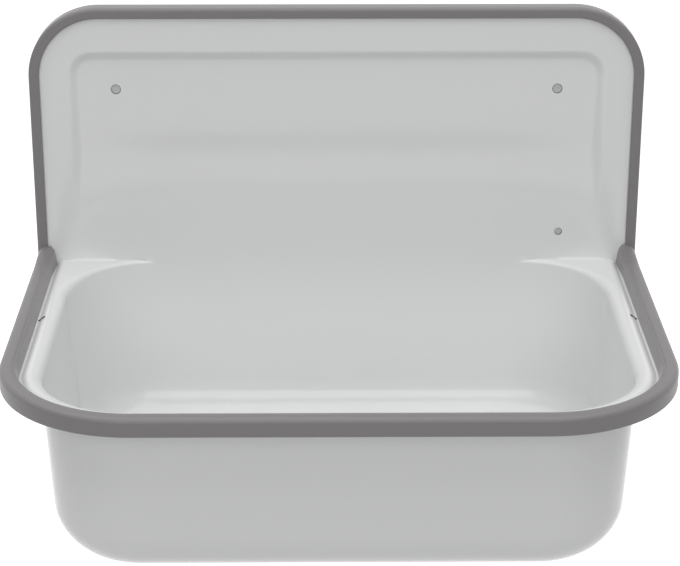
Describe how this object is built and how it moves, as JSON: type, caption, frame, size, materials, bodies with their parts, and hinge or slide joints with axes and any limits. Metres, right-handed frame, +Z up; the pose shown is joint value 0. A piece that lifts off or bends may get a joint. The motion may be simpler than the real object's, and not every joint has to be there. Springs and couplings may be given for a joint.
{
  "type": "utility sink",
  "caption": "Wall-hung utility sink: enamelled pressed-steel bowl with an upstanding splashback, grey push-on edge trims and a strainer waste.",
  "frame": {"origin": "midway between the two upper wall holes, on the back of the splashback's panel; the wall itself is the plane y = +7.2 mm", "axes": "+Z up, +Y into the wall, +X to the right as one faces the sink; the bowl's front faces -Y"},
  "size_m": [0.51, 0.348, 0.4145],
  "materials": {
    "enamel": "glossy vitreous enamel on pressed steel",
    "trim": "satin",
    "stainless": "brushed",
    "seal": "matt",
    "waste_plastic": "satin",
    "brass": "machined"
  },
  "bodies": {
    "root": {"sink_pressing": "enamel", "splashback_trim": "trim", "rim_trim": "trim", "strainer": "stainless", "strainer_screw": "stainless", "strainer_seal": "seal", "waste_seal": "seal", "waste_body": "waste_plastic", "waste_insert": "brass"}
  },
  "joints": []
}
